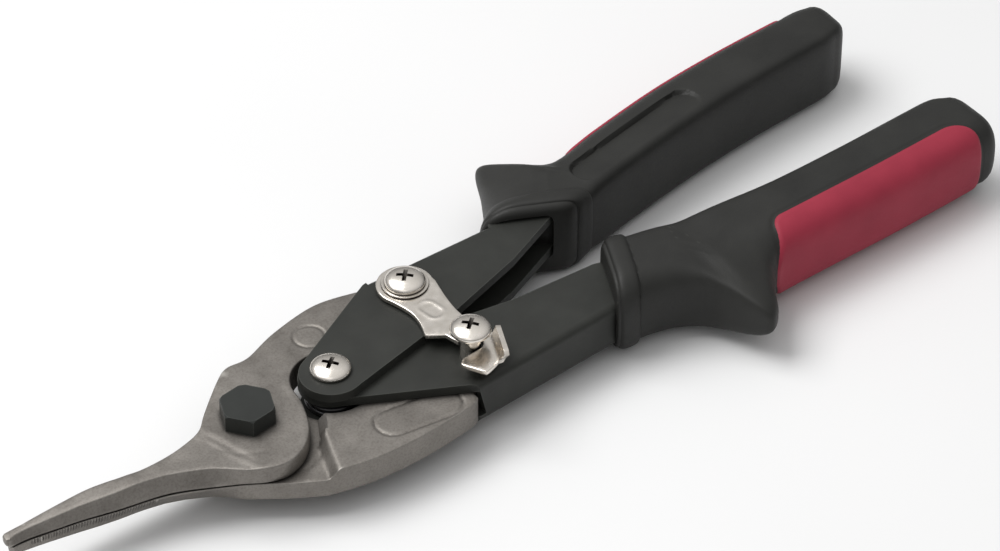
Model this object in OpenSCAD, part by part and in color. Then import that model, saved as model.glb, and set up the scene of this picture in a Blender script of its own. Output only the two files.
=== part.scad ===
// Aviation snips: compound-leverage sheet-metal shears, latched closed.
// Origin on the main pivot bolt's axis at the shear plane between the two blades.
// +X from the main bolt towards the grips, +Y towards the thumb handle, +Z up along the bolt.
// All sizes in millimetres.

/* [Linkage] */
// Distance from the main bolt to the pivot that joins the two handles
front_pivot_x = 22; // [20:0.5:24]
// Distance from the main bolt to the two blade-to-handle links, along the tool
link_x = 51; // [49:0.5:53]
// Distance of each blade-to-handle link from the centreline
link_y = 12.5; // [12:0.1:13]

/* [Blades] */
// Length of the jaws from the main bolt to the tip
jaw_l = 61.5; // [58:0.5:66]
// Thickness of each blade at the boss
blade_t = 4.55; // [4:0.05:4.6]
// Radius of the half-lap step, beyond which each tang fills its handle
lap_r = 17.3; // [17:0.1:18]
// Depth of the fine serrations on the lower jaw's cutting edge
serration_d = 0.35; // [0.2:0.05:0.5]

/* [Handles] */
// Thickness of the folded handle sheet
sheet_t = 2.2; // [1.8:0.1:2.4]
// Height between the two cheeks of each folded handle
cheek_gap = 7.2; // [7:0.1:7.4]
// Radius of the round front end of each handle
hub_r = 7.4; // [7:0.1:7.6]
// Outer radius of the fold along each handle's spine
fold_r = 1.8; // [1:0.1:2.2]

/* [Grips] */
// Height of the moulded grips
grip_h = 20; // [18:0.5:22]
// Thickness of the soft red inserts
insert_t = 2; // [1.5:0.1:2.5]

/* [Latch] */
// Thickness of the latch plate
latch_t = 1.2; // [1:0.1:1.5]
// Height of the upturned thumb tab above the latch plate
latch_tab_h = 3; // [2:0.5:5]
// Width of the waist between the latch's pivot eye and its hook
latch_waist_w = 9.6; // [9:0.1:10.5]

/* [Fasteners] */
// Distance across the flats of the main bolt's hexagon head
main_head_af = 11.2; // [10:0.1:12]
// Diameter of the main bolt's shank
main_shank_d = 8; // [7:0.5:8]
// Diameter of the cross-recess screw heads
screw_head_d = 9.3; // [8.5:0.1:10]
// Height of the domed screw heads
screw_head_h = 2.3; // [1.8:0.1:2.6]
// Diameter of the link screws
screw_d = 4.8; // [4:0.1:5]
// Diameter of the bush on each link screw
bush_d = 6.4; // [6:0.1:6.6]
// Clear height of the latch post below its screw head
post_h = 7.6; // [7:0.1:9]

/* [Spring] */
// Diameter of the return spring's wire
wire_d = 1.3; // [1:0.1:1.3]
// Mean radius of the return spring's coil
coil_r = 5.4; // [5.2:0.1:5.8]

/* [Hidden] */
$fn = 64;

// Colours
forged = [0.50, 0.48, 0.45];
black_oxide = [0.24, 0.25, 0.24];
nickel = [0.80, 0.76, 0.71];
moulded_black = [0.17, 0.17, 0.18];
soft_red = [0.66, 0.14, 0.20];
spring_dark = [0.20, 0.20, 0.21];

// Clearances
run = 0.05;      // running gap, on a face or on a radius
open_run = 0.3;  // gap on the main bolt's radius in the upper blade
eps = 0.01;      // overlap that joins two stretches of one solid
far = 400;       // longer than anything in the part

// The four pivots
main_pivot = [0, 0];
front_pivot = [front_pivot_x, 0];
thumb_link = [link_x, link_y];
finger_link = [link_x, -link_y];

// Heights. The two channels nest: the thumb handle's cheeks sit one sheet higher.
nest = (sheet_t + 2 * run) / 2;
thumb_top = nest + cheek_gap / 2 + sheet_t;
thumb_low = nest - cheek_gap / 2 - sheet_t;
finger_top = thumb_top - 2 * nest;
finger_low = thumb_low - 2 * nest;
tang_play = 0.1;
lap_play = 0.8;
tang_deep = thumb_low + sheet_t + tang_play;
boss_top = run + blade_t;

// Fasteners
bush_r = bush_d / 2;
screw_r = screw_d / 2;
shank_r = main_shank_d / 2;
thread_r = 3;
main_head_h = 4.2;
washer_t = 1.1;
main_nut_h = 3.8;
nut_h = 2.6;
nut_af = 8;
flange_t = 0.5;
latch_low = thumb_top + 0.35;
latch_top = latch_low + latch_t;
latch_washer_t = 0.4;
link_head_z = latch_top + latch_washer_t + 0.15;
post_head_z = finger_top + post_h;

// Jaw taper: each jaw loses tip_thin of its thickness from taper_x in front of the bolt to the tip
taper_x = 20;
tip_thin = 2.3;

// Tang ends
tang_end_r = 4.5;
hub_notch_r = hub_r + 1.6;
thumb_hub = front_pivot + [-0.3, -0.9];
hub_tangent_r = hub_r - 0.08;

// Grips
grip_steps = 3;
grip_sides = 28;
flat_trim = 0.35;

// ---------- Plan geometry ----------

function unit(v) = v / norm(v);
function turn_between(a, b) = (b - a + 540) % 360 - 180;

// One outline corner [x, y, radius] as an arc, or as a sharp point where the radius is 0.
function corner(p, i, steps) =
    let (
        here = [p[i].x, p[i].y],
        before = p[(i + len(p) - 1) % len(p)],
        after = p[(i + 1) % len(p)],
        u = unit([before.x, before.y] - here),
        v = unit([after.x, after.y] - here),
        half = acos(u * v) / 2,
        r = p[i].z,
        centre = here + unit(u + v) * r / sin(half),
        first = here + u * r / tan(half) - centre,
        last = here + v * r / tan(half) - centre,
        start = atan2(first.y, first.x),
        sweep = turn_between(start, atan2(last.y, last.x))
    )
    r == 0 ? [here] : [
        for (k = [0:steps])
            let (a = start + sweep * k / steps)
            centre + r * [cos(a), sin(a)]
    ];

function rounded(p, steps = 6) = [for (i = [0:len(p) - 1]) each corner(p, i, steps)];

// Where a line from point p touches a circle; side is 1 or -1.
function touch(centre, r, p, side) =
    let (
        toward = p - centre,
        a = atan2(toward.y, toward.x) + side * acos(r / norm(toward))
    )
    centre + r * [cos(a), sin(a)];

// A point moved off a centreline.
function shifted(p, d) = [p.x, p.y + d];

// A smooth curve through rows of numbers; t runs from 0 to the last row's index.
function spline(rows, t) =
    let (
        last = len(rows) - 1,
        i = min(floor(t), last - 1),
        f = t - i,
        a = rows[max(i - 1, 0)],
        b = rows[i],
        c = rows[i + 1],
        d = rows[min(i + 2, last)]
    )
    0.5 * (2 * b + (c - a) * f + (2 * a - 5 * b + 4 * c - d) * f * f + (3 * b - a - 3 * c + d) * f * f * f);

// ---------- Solids ----------

// A plan shape raised from low to high.
module slab(low, high) {
    translate([0, 0, low])
        linear_extrude(high - low)
            children();
}

module drill(at, r, low = -far / 2, high = far / 2) {
    translate([at.x, at.y, low])
        cylinder(h = high - low, r = r);
}

module tube(at, r_out, r_in, low, high) {
    difference() {
        translate([at.x, at.y, low])
            cylinder(h = high - low, r = r_out);
        drill(at, r_in);
    }
}

// A closed skin over rings that all have the same number of points.
module skin(rings) {
    n = len(rings[0]);
    m = len(rings);
    polyhedron(
        points = [for (ring = rings) each ring],
        faces = concat(
            [[for (j = [0:n - 1]) j]],
            [[for (j = [0:n - 1]) (m - 1) * n + n - 1 - j]],
            [
                for (i = [0:m - 2])
                    for (j = [0:n - 1])
                        let (a = i * n + j, b = i * n + (j + 1) % n)
                        each [[a, a + n, b], [a + n, b + n, b]]
            ]
        )
    );
}

// Hexagon whose corners are turned down at its top end.
module hexagon(af, h) {
    corner_r = af / 2 / cos(30);
    chamfer = 0.45;
    intersection() {
        cylinder(h = h, r = corner_r, $fn = 6);
        union() {
            cylinder(h = h - chamfer + eps, r = corner_r + 1);
            translate([0, 0, h - chamfer])
                cylinder(h = chamfer, r1 = corner_r, r2 = corner_r - chamfer);
        }
    }
}

// Domed head with a cross recess; its flat underside is at z = 0.
module dome_head(d = screw_head_d, h = screw_head_h) {
    rim = 0.6;
    rise = h - rim;
    ball_r = (d * d / 4 + rise * rise) / (2 * rise);
    arm = d * 0.27;
    slot_w = 1.3;
    slot_deep = 1.6;
    slot_turn = 20;
    difference() {
        rotate_extrude()
            intersection() {
                translate([0, h - ball_r])
                    circle(r = ball_r, $fn = 128);
                square([d / 2, h]);
            }
        for (a = [0, 90])
            rotate(a + slot_turn)
                translate([-arm, -slot_w / 2, h - slot_deep])
                    cube([2 * arm, slot_w, h]);
    }
}

// Nut with a round flange; its flange face is at z = 0 and it hangs down.
module flange_nut(bore_r) {
    difference() {
        mirror([0, 0, 1]) {
            cylinder(h = flange_t, r = nut_af / 2 + 0.8);
            hexagon(nut_af, nut_h);
        }
        drill([0, 0], bore_r, -nut_h - 1, 1);
    }
}

// ---------- Blades ----------

// Jaw and boss of the upper blade, seen from above.
module upper_jaw_plan() {
    polygon(rounded([
        [-jaw_l, 2.6, 0.7], [-jaw_l, 0.1, 0.7], [-45, -2.2, 0], [-31, -4.9, 30], [-20, -7.4, 20],
        [-10, -13.6, 10], [-3, -17.6, 8], [5.6, -16.4, 8], [11.4, -8.6, 9], [13.2, 1, 5],
        [4, 6, 0], [1.2, 14.1, 0], [-9.6, 4.4, 3], [-14.2, 1.2, 8], [-27, -0.1, 20], [-42, 2.3, 20]
    ]));
}

// Tang of the upper blade: the waist beside the boss and the arm into the thumb handle.
module upper_tang_plan() {
    polygon(rounded([
        [0, 0, 0], [-2, 11.3, 0], [4, 16.6, 2.5], [11, 16.9, 2], [20, 20.3, 12], [31, 22.6, 14],
        [45, 20.4, 1.2], [45.3, 16.5, 0.8], [link_x, link_y + tang_end_r, 0],
        [link_x, link_y - tang_end_r, 0], [26, 8.6, 0], [12, 4, 0]
    ]));
    translate(thumb_link)
        circle(r = tang_end_r);
}

module upper_blade() {
    color(forged)
        difference() {
            union() {
                slab(run, boss_top) {
                    upper_jaw_plan();
                    upper_tang_plan();
                }
                slab(tang_deep, boss_top)
                    difference() {
                        upper_tang_plan();
                        circle(r = lap_r);
                    }
            }
            drill(main_pivot, shank_r + open_run);
            drill(front_pivot, hub_notch_r);
            drill(thumb_link, bush_r + run);
            upper_jaw_relief();
            blank_stamp([26, 14.3], 3.9, 3.9, 0, boss_top);
        }
}

// The plane that thins the upper jaw towards its tip.
module upper_jaw_relief() {
    translate([-taper_x, -far / 2, boss_top])
        rotate([0, -atan(tip_thin / (jaw_l - taper_x)), 0])
            translate([-far, 0, 0])
                cube([far, far, far]);
}

// A shallow plain oval groove pressed into a top face; half_l and half_w are its half axes.
module blank_stamp(at, half_l, half_w, angle, top) {
    depth = 0.25;
    groove_w = 0.6;
    translate([at.x, at.y, top - depth])
        rotate(angle)
            linear_extrude(far)
                difference() {
                    oval(half_l, half_w);
                    oval(half_l - groove_w, half_w - groove_w);
                }
}

// Round-ended oval; a circle when both half axes are equal.
module oval(half_l, half_w) {
    if (half_l == half_w)
        circle(r = half_w);
    else
        polygon(rounded([
            [half_l, half_w, 0.99 * half_w], [-half_l, half_w, 0.99 * half_w],
            [-half_l, -half_w, 0.99 * half_w], [half_l, -half_w, 0.99 * half_w]
        ], 8));
}

// Jaw and boss of the lower blade, seen from above.
module lower_jaw_plan() {
    polygon(rounded([
        [-jaw_l + 0.8, 2.4, 0.7], [-25, 2.8, 0], [-12, 4.2, 8], [-4.5, 9.4, 4], [1, 14.6, 3],
        [4.6, 15.8, 3.5], [12.6, 6, 8], [12, -4, 0], [4, -12, 0], [-3.1, -18, 0], [-7.8, -14.8, 0],
        [-12.8, -10, 6], [-19, -6, 8], [-31, -5, 30], [-45, -2.4, 0], [-jaw_l + 0.8, 0, 0.7]
    ]));
}

// Tang of the lower blade: the wide shoulder and the arm into the finger handle.
module lower_tang_plan() {
    polygon(rounded([
        [-4.5, -17, 0], [0, -8, 0], [12, -4, 0], [26, -8.6, 0], [link_x, -link_y + tang_end_r, 0],
        [link_x, -link_y - tang_end_r, 0], [45.4, -17.2, 0.8], [46, -23, 1.2], [37, -24.8, 10],
        [27, -25.6, 30], [15, -25.2, 20], [5.5, -22.8, 8]
    ]));
    translate(finger_link)
        circle(r = tang_end_r);
}

module lower_blade() {
    color(forged)
        difference() {
            union() {
                slab(-boss_top, -run) {
                    lower_jaw_plan();
                    lower_tang_plan();
                }
                slab(-boss_top, -tang_deep)
                    difference() {
                        lower_tang_plan();
                        circle(r = lap_r + lap_play);
                    }
            }
            drill(main_pivot, shank_r);
            drill(front_pivot, hub_notch_r);
            drill(finger_link, bush_r + run);
            lower_jaw_relief();
            blank_stamp([31.5, -19.6], 9, 3.4, -9, -tang_deep);
        }
}

// The plane that thins the lower jaw towards its tip, and the serrations along its cutting edge.
module lower_jaw_relief() {
    pitch = 1;
    count = 30;
    start = [-jaw_l + 5, -0.55];
    edge_end = [-31, -4.9];
    edge_slope = (edge_end.y - start.y) / (edge_end.x - start.x);
    tooth = serration_d * sqrt(2);
    tooth_h = 4;
    tooth_z = -1.2;
    translate([-taper_x, -far / 2, -boss_top])
        rotate([0, atan(tip_thin / (jaw_l - taper_x)), 0])
            translate([-far, 0, -far])
                cube([far, far, far]);
    for (i = [0:count - 1])
        translate([start.x + i * pitch, start.y + edge_slope * i * pitch, tooth_z])
            rotate([0, 0, 45])
                cube([tooth, tooth, tooth_h], center = true);
}

// ---------- Main bolt ----------

module main_bolt() {
    tail = -boss_top - washer_t - main_nut_h;
    shoulder = -boss_top + 0.2;
    head_turn = 8;
    color(black_oxide) {
        translate([0, 0, boss_top + run])
            rotate(head_turn)
                hexagon(main_head_af, main_head_h);
        drill(main_pivot, shank_r, shoulder, boss_top + run + eps);
        drill(main_pivot, thread_r, tail, shoulder + 10 * eps);
    }
}

module main_washer() {
    washer_r = 7.2;
    color(black_oxide)
        tube(main_pivot, washer_r, thread_r, -boss_top - washer_t, -boss_top);
}

module main_nut() {
    color(black_oxide)
        difference() {
            translate([0, 0, -boss_top - washer_t])
                mirror([0, 0, 1])
                    hexagon(main_head_af, main_nut_h);
            drill(main_pivot, thread_r);
        }
}

// ---------- Handles ----------

// Spine of the thumb handle, front to back: its outer face in plan.
thumb_spine = [[47, 19.8], [80, 19.8], [104, 26.2], [186, 37.4]];
finger_spine = [[47.2, -21.4], [89, -18.3], [98, -18.6], [188, -21.6]];

module thumb_plan() {
    nose = [44.2, 19.4];
    crook = [44, -3.2];
    polygon([
        thumb_hub, touch(thumb_hub, hub_tangent_r, nose, 1), nose, thumb_spine[0], thumb_spine[1],
        thumb_spine[2], thumb_spine[3], [186, 29.4], [112, 19], [94, 14.2], [77, 6.6], [59, 0.8],
        [52, -1.4], crook, touch(thumb_hub, hub_tangent_r, crook, -1)
    ]);
}

module finger_plan() {
    nose = [46.2, -20.6];
    crook = [46, 3.2];
    polygon([
        front_pivot, touch(front_pivot, hub_tangent_r, crook, 1), crook, [59, -0.8], [70, -2.5], [92, -3.4],
        [108, -8], [130, -11], [188, -11.6], finger_spine[3], finger_spine[2], finger_spine[1],
        finger_spine[0], nose, touch(front_pivot, hub_tangent_r, nose, -1)
    ]);
}

// Rounds the fold between a cheek and the spine, along the spine's first, bare stretch.
// side is 1 where the spine's outside faces +Y; up is 1 for the top fold.
module fold_cutter(spine, z, side, up) {
    reach = spine[1] - spine[0];
    wide = 2 * fold_r;
    short_of_bend = 0.6;
    translate([spine[0].x, spine[0].y, z])
        rotate([0, 0, atan2(reach.y, reach.x)])
            translate([-fold_r, -side * fold_r, -up * fold_r])
                rotate([90, 0, 90])
                    linear_extrude(norm(reach) + fold_r - short_of_bend)
                        difference() {
                            translate([side > 0 ? 0 : -wide, up > 0 ? 0 : -wide])
                                square(wide);
                            circle(r = fold_r);
                        }
}

// The hollow between a handle's cheeks, open on its inner side and ahead of the spine.
module hollow_plan(spine, side) {
    polygon([
        [spine[0].x, side * 60], shifted(spine[0], -side * sheet_t), shifted(spine[1], -side * sheet_t),
        shifted(spine[2], -side * sheet_t), shifted(spine[3], -side * sheet_t), [far, spine[3].y],
        [far, -side * 60], [0, -side * 60], [0, side * 60]
    ]);
}

module thumb_handle() {
    color(black_oxide)
        difference() {
            union() {
                slab(thumb_low, thumb_top)
                    thumb_plan();
                drill(thumb_hub, hub_r, thumb_low, thumb_top);
            }
            slab(thumb_low + sheet_t, thumb_top - sheet_t)
                hollow_plan(thumb_spine, 1);
            fold_cutter(thumb_spine, thumb_top, 1, 1);
            fold_cutter(thumb_spine, thumb_low, 1, -1);
            drill(front_pivot, bush_r + run);
            drill(thumb_link, bush_r, thumb_top - sheet_t - 1);
            drill(thumb_link, screw_r, -far / 2, thumb_low + sheet_t + 1);
        }
}

// The wedge that slants the front edge of the finger handle's spine back towards its underside.
module spine_slant() {
    fall = finger_top - finger_low;
    back = 2.8;
    long = 20;
    outer_y = -40;
    inner_y = finger_link.y - tang_end_r;
    translate([finger_spine[0].x, outer_y, finger_top - sheet_t])
        rotate([0, -atan(back / fall), 0])
            translate([-long, 0, -2 * fall])
                cube([long, inner_y - outer_y, 2 * fall]);
}

module finger_handle() {
    color(black_oxide)
        difference() {
            union() {
                slab(finger_low, finger_top)
                    finger_plan();
                drill(front_pivot, hub_r, finger_low, finger_top);
            }
            slab(finger_low + sheet_t, finger_top - sheet_t)
                hollow_plan(finger_spine, -1);
            fold_cutter(finger_spine, finger_top, -1, 1);
            fold_cutter(finger_spine, finger_low, -1, -1);
            intersection() {
                spine_slant();
                slab(finger_low + sheet_t, finger_top - sheet_t)
                    square([far, far], center = true);
            }
            drill(front_pivot, bush_r, finger_low + sheet_t + 1);
            drill(front_pivot, screw_r, -far / 2, finger_low + sheet_t + 1);
            drill(finger_link, screw_r);
        }
}

// ---------- Handle-to-handle pivot ----------

module front_pivot_screw() {
    head_z = thumb_top + run;
    color(nickel) {
        translate([front_pivot.x, front_pivot.y, head_z])
            dome_head();
        drill(front_pivot, screw_r, finger_low - nut_h, head_z + eps);
    }
}

module front_pivot_bush() {
    color(nickel)
        tube(front_pivot, bush_r, screw_r, finger_low + sheet_t, thumb_top + run);
}

module front_pivot_nut() {
    color(nickel)
        translate([front_pivot.x, front_pivot.y, finger_low])
            flange_nut(screw_r);
}

// Points along the return spring: one straight leg, the coil, and the other leg.
module return_spring() {
    turns = 2.5;
    coil_steps = 60;
    wire_sides = 10;
    rise = wire_d + run;
    leg_l = 27;
    leg_angle = 4;
    low = -rise * turns / 2;
    begin = -90 - leg_angle;
    sweep = -(turns * 360 - 2 * leg_angle);
    function ring(centre, heading) = [
        for (k = [0:wire_sides - 1])
            let (a = 360 * k / wire_sides)
            centre + wire_d / 2 * (cos(a) * [-sin(heading), cos(heading), 0] + [0, 0, sin(a)])
    ];
    function on_coil(s) =
        let (a = begin + sweep * s)
        [front_pivot.x + coil_r * cos(a), coil_r * sin(a), low + rise * turns * s];
    function heading(s) = begin + sweep * s - 90;
    function ahead(p, a, d) = p + d * [cos(a), sin(a), 0];
    color(spring_dark)
        skin(concat(
            [ring(ahead(on_coil(0), heading(0), -leg_l), heading(0))],
            [for (k = [0:coil_steps]) ring(on_coil(k / coil_steps), heading(k / coil_steps))],
            [ring(ahead(on_coil(1), heading(1), leg_l), heading(1))]
        ));
}

// ---------- Thumb link and latch ----------

module thumb_link_screw() {
    color(nickel) {
        translate([thumb_link.x, thumb_link.y, link_head_z])
            dome_head();
        drill(thumb_link, screw_r, thumb_low - nut_h, link_head_z + eps);
    }
}

module thumb_link_bush() {
    color(nickel)
        tube(thumb_link, bush_r, screw_r, thumb_low + sheet_t, link_head_z - latch_washer_t);
}

module thumb_link_nut() {
    color(nickel)
        translate([thumb_link.x, thumb_link.y, thumb_low])
            flange_nut(screw_r);
}

module latch_washer() {
    overhang = 0.7;
    color(nickel)
        tube(thumb_link, screw_head_d / 2 + overhang, screw_r, link_head_z - latch_washer_t, link_head_z);
}

module latch_spring_washer() {
    washer_r = 6;
    color(nickel)
        tube(thumb_link, washer_r, bush_r, thumb_top, latch_low - run);
}

// Hook plate, seen from above. Its slot opens towards the blades; the lower jaw of the
// slot falls away by slot_fall degrees so that the post can leave while the handles spread.
module latch_plan() {
    eye_r = 6.6;
    slot_r = screw_r + 0.35;
    slot_fall = 28;
    waist_x = link_x - 0.3;
    half_waist = latch_waist_w / 2;
    upper_rise = 47;
    out = 14;
    low_jaw = slot_r * [sin(slot_fall), -cos(slot_fall)];
    high_jaw = slot_r * [cos(upper_rise), sin(upper_rise)];
    difference() {
        union() {
            translate(thumb_link)
                circle(r = eye_r);
            polygon(rounded([
                [waist_x - half_waist - 1.2, 10, 0], [waist_x - half_waist, 1.6, 14], [44.5, -4.2, 0.7],
                [48.6, -7.4, 1.2], [46, -15.4, 0], [45, -16.9, 0.5], [48, -22.1, 1.2],
                [52.8, -21.2, 1.6], [57.9, -13.4, 3], [55.4, -1.5, 10], [waist_x + half_waist + 1.6, 10, 0]
            ]));
        }
        translate(finger_link) {
            circle(r = slot_r);
            polygon([
                low_jaw, high_jaw, [-slot_r, high_jaw.y], [-out * cos(upper_rise), out * 0.5],
                low_jaw - out * [cos(slot_fall), sin(slot_fall)]
            ]);
        }
    }
}

module latch() {
    tab_base = [58.2, -13.4];
    tab_angle = -117;
    tab_l = 8.4;
    color(nickel)
        difference() {
            union() {
                slab(latch_low, latch_top)
                    latch_plan();
                translate([tab_base.x, tab_base.y, latch_low])
                    rotate(tab_angle)
                        translate([0, -latch_t - 0.4, 0])
                            cube([tab_l, latch_t, latch_t + latch_tab_h]);
            }
            drill(thumb_link, bush_r + run);
            blank_stamp([50.7, 1.6], 3, 2, -35, latch_top);
        }
}

// ---------- Finger link ----------

module latch_post_screw() {
    color(nickel) {
        translate([finger_link.x, finger_link.y, post_head_z])
            dome_head();
        drill(finger_link, screw_r, finger_low - nut_h, post_head_z + eps);
    }
}

module finger_link_bush() {
    color(nickel)
        tube(finger_link, bush_r, screw_r, finger_low + sheet_t, finger_top - sheet_t);
}

module finger_link_nut() {
    color(nickel)
        translate([finger_link.x, finger_link.y, finger_low])
            flange_nut(screw_r);
}

// ---------- Grips ----------

// Each row is one section across a grip: inner edge x, y; outer edge x, y; half height.
half_h = grip_h / 2;
thumb_rows = [
    [98.5, 11, 76.5, 20.4, half_h], [100, 11.2, 82, 24.5, half_h], [101.5, 11.4, 87, 34, half_h - 0.5],
    [103, 11.7, 91.3, 41, half_h - 1.6], [104.5, 12.1, 95.4, 38.2, half_h - 1],
    [106.5, 12.7, 99.4, 32.2, half_h], [110, 13.6, 105.5, 30.2, half_h], [120, 16.3, 120, 34, half_h],
    [140, 20.4, 140, 37.6, half_h], [160, 23.2, 160, 39.8, half_h], [180, 24.9, 181, 41.4, half_h],
    [189, 25.8, 190.5, 41.2, half_h - 0.6], [192.3, 29, 194.5, 38, half_h - 2]
];
finger_rows = [
    [95, -2.2, 87, -20.2, half_h], [100, -3.2, 94, -20.6, half_h], [106, -4.4, 103, -23, half_h],
    [109, -5, 109.8, -29, half_h - 0.3], [111, -5.2, 113.6, -38, half_h - 1.8],
    [114, -5.6, 118.9, -37, half_h - 1.2], [118, -6.2, 122.6, -29.6, half_h],
    [124, -7, 128.5, -26.6, half_h], [140, -8.4, 145, -26.2, half_h], [160, -8.5, 163, -25.8, half_h],
    [180, -8.2, 181, -25, half_h], [192, -9, 192, -23.6, half_h - 0.6],
    [198.3, -13.5, 197.3, -19.5, half_h - 2]
];

// A closed section: nearly flat on the inner side, full and round on the outer side.
function bulge(c, power) = sign(c) * pow(abs(c), 2 / power);
function grip_ring(row) = [
    for (k = [0:grip_sides - 1])
        let (
            a = 360 * k / grip_sides,
            power = cos(a) > 0 ? 2.8 : 9,
            across = bulge(cos(a), power),
            inner = [row[0], row[1]],
            outer = [row[2], row[3]],
            p = (inner + outer) / 2 + across * (outer - inner) / 2
        )
        [p.x, p.y, max(-row[4], min(row[4], (row[4] + flat_trim) * bulge(sin(a), power)))]
];
module grip_body(rows, flip) {
    n = grip_sides;
    last = len(rows) - 1;
    rings = [for (k = [0:last * grip_steps]) grip_ring(spline(rows, k / grip_steps))];
    skin(flip ? [for (ring = rings) [for (k = [0:n - 1]) ring[n - 1 - k]]] : rings);
}

// The space a soft insert takes: a wrap round the outer side of a grip's solid core.
// The line from a to b lies along the grip's outer face; side is 1 where that faces +Y.
// reach_in is how far the wrap comes in over the grip's top and bottom.
module insert_zone(a, b, side, reach_in) {
    run_v = b - a;
    core_h = half_h - insert_t;
    beyond = 20;
    translate([a.x, a.y, 0])
        rotate([0, 0, atan2(run_v.y, run_v.x)])
            rotate([90, 0, 90])
                linear_extrude(norm(run_v))
                    difference() {
                        translate([side > 0 ? -reach_in : -beyond, -beyond])
                            square([beyond + reach_in, 2 * beyond]);
                        translate([side > 0 ? -beyond : insert_t, -core_h])
                            square([beyond - insert_t, 2 * core_h]);
                    }
}

module thumb_zone() {
    insert_zone([110, 31.4], [184, 41.2], 1, 5.5);
}

module finger_zone() {
    insert_zone([132, -26.4], [190, -24.6], -1, 8.5);
}

module thumb_grip() {
    color(moulded_black)
        difference() {
            grip_body(thumb_rows, false);
            slab(thumb_low, thumb_top)
                thumb_plan();
            thumb_zone();
        }
}

module thumb_grip_insert() {
    color(soft_red)
        intersection() {
            grip_body(thumb_rows, false);
            thumb_zone();
        }
}

module finger_grip() {
    color(moulded_black)
        difference() {
            grip_body(finger_rows, true);
            slab(finger_low, finger_top)
                finger_plan();
            finger_zone();
        }
}

module finger_grip_insert() {
    color(soft_red)
        intersection() {
            grip_body(finger_rows, true);
            finger_zone();
        }
}

upper_blade();
lower_blade();
main_bolt();
main_washer();
main_nut();
thumb_handle();
finger_handle();
front_pivot_screw();
front_pivot_bush();
front_pivot_nut();
return_spring();
thumb_link_screw();
thumb_link_bush();
thumb_link_nut();
latch_post_screw();
finger_link_bush();
finger_link_nut();
latch();
latch_washer();
latch_spring_washer();
thumb_grip();
thumb_grip_insert();
finger_grip();
finger_grip_insert();
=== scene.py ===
"""Aviation snips: the looks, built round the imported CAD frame.

Shapes are worked out in millimetres; make() and MM turn them into Blender's metres."""
import math

import bmesh
import bpy
import numpy as np
from mathutils import Matrix, Vector, noise
from mathutils.geometry import delaunay_2d_cdt


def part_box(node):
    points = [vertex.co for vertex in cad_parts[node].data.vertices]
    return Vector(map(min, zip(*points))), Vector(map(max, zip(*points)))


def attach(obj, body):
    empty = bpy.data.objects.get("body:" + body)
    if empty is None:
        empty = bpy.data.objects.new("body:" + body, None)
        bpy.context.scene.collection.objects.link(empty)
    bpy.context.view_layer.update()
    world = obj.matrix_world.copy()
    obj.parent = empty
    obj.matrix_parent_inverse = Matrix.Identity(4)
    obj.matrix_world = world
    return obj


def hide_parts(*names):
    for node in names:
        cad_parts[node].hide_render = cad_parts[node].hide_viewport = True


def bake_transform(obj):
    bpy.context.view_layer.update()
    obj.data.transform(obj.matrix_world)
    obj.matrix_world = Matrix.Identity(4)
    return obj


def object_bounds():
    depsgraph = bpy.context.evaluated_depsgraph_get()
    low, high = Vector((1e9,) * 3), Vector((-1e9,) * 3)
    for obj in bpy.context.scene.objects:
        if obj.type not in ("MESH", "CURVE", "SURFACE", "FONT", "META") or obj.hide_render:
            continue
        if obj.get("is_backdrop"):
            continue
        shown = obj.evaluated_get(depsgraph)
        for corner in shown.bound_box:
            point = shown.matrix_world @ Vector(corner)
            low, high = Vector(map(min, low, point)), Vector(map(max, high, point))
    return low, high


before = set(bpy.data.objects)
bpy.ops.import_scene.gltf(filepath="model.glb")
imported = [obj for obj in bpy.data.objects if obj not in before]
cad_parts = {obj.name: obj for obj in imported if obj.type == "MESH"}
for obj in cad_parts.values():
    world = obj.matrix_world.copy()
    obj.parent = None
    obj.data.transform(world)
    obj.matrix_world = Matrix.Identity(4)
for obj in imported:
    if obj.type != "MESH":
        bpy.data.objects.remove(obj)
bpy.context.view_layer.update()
MM = 0.001


# ---------- Places taken from the frame ----------

def centre(node):
    """Middle of a CAD node's box, in millimetres."""
    low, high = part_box(node)
    return (np.array(low) + np.array(high)) / 2 / MM


def level(node, top=True):
    """Highest or lowest height of a CAD node, in millimetres."""
    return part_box(node)[1 if top else 0].z / MM


FRONT_PIVOT = centre("front_pivot_bush")[:2]
THUMB_LINK = centre("thumb_link_bush")[:2]
FINGER_LINK = centre("finger_link_bush")[:2]
BLADE_TOP = level("upper_blade")
TANG_DEEP = level("upper_blade", top=False)
THUMB_TOP = level("thumb_handle")
THUMB_LOW = level("thumb_handle", top=False)
FINGER_TOP = level("finger_handle")
FINGER_LOW = level("finger_handle", top=False)
LATCH_LOW = level("latch", top=False)
BUSH_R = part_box("front_pivot_bush")[1].x / MM - FRONT_PIVOT[0]
LAP_R = 17.4            # half lap: where each blade's boss ends and the raised tang begins
BOSS_CLEAR_R = 16.0     # nothing raised on the lower blade inside this, so the upper boss can sweep
NOTCH_R = 9.0           # clearance round the front pivot
TANG_END_R = 4.5
SHEAR_GAP = 0.05        # each blade's flat stands this far off the shear plane
HOLE_GAP = 0.05         # play between a link bush and its hole


# ---------- Curves and numbers ----------

def smooth(t):
    t = np.clip(t, 0, 1)
    return t * t * (3 - 2 * t)


def spline(rows, t):
    """Catmull-Rom curve through rows of numbers; t runs from 0 to the last row's index."""
    rows = np.asarray(rows, float)
    last = len(rows) - 1
    i = min(int(t), last - 1)
    f = t - i
    a, b, c, d = rows[max(i - 1, 0)], rows[i], rows[i + 1], rows[min(i + 2, last)]
    square, cube = 2 * a - 5 * b + 4 * c - d, 3 * b - a - 3 * c + d
    return 0.5 * (2 * b + (c - a) * f + square * f**2 + cube * f**3)


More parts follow.
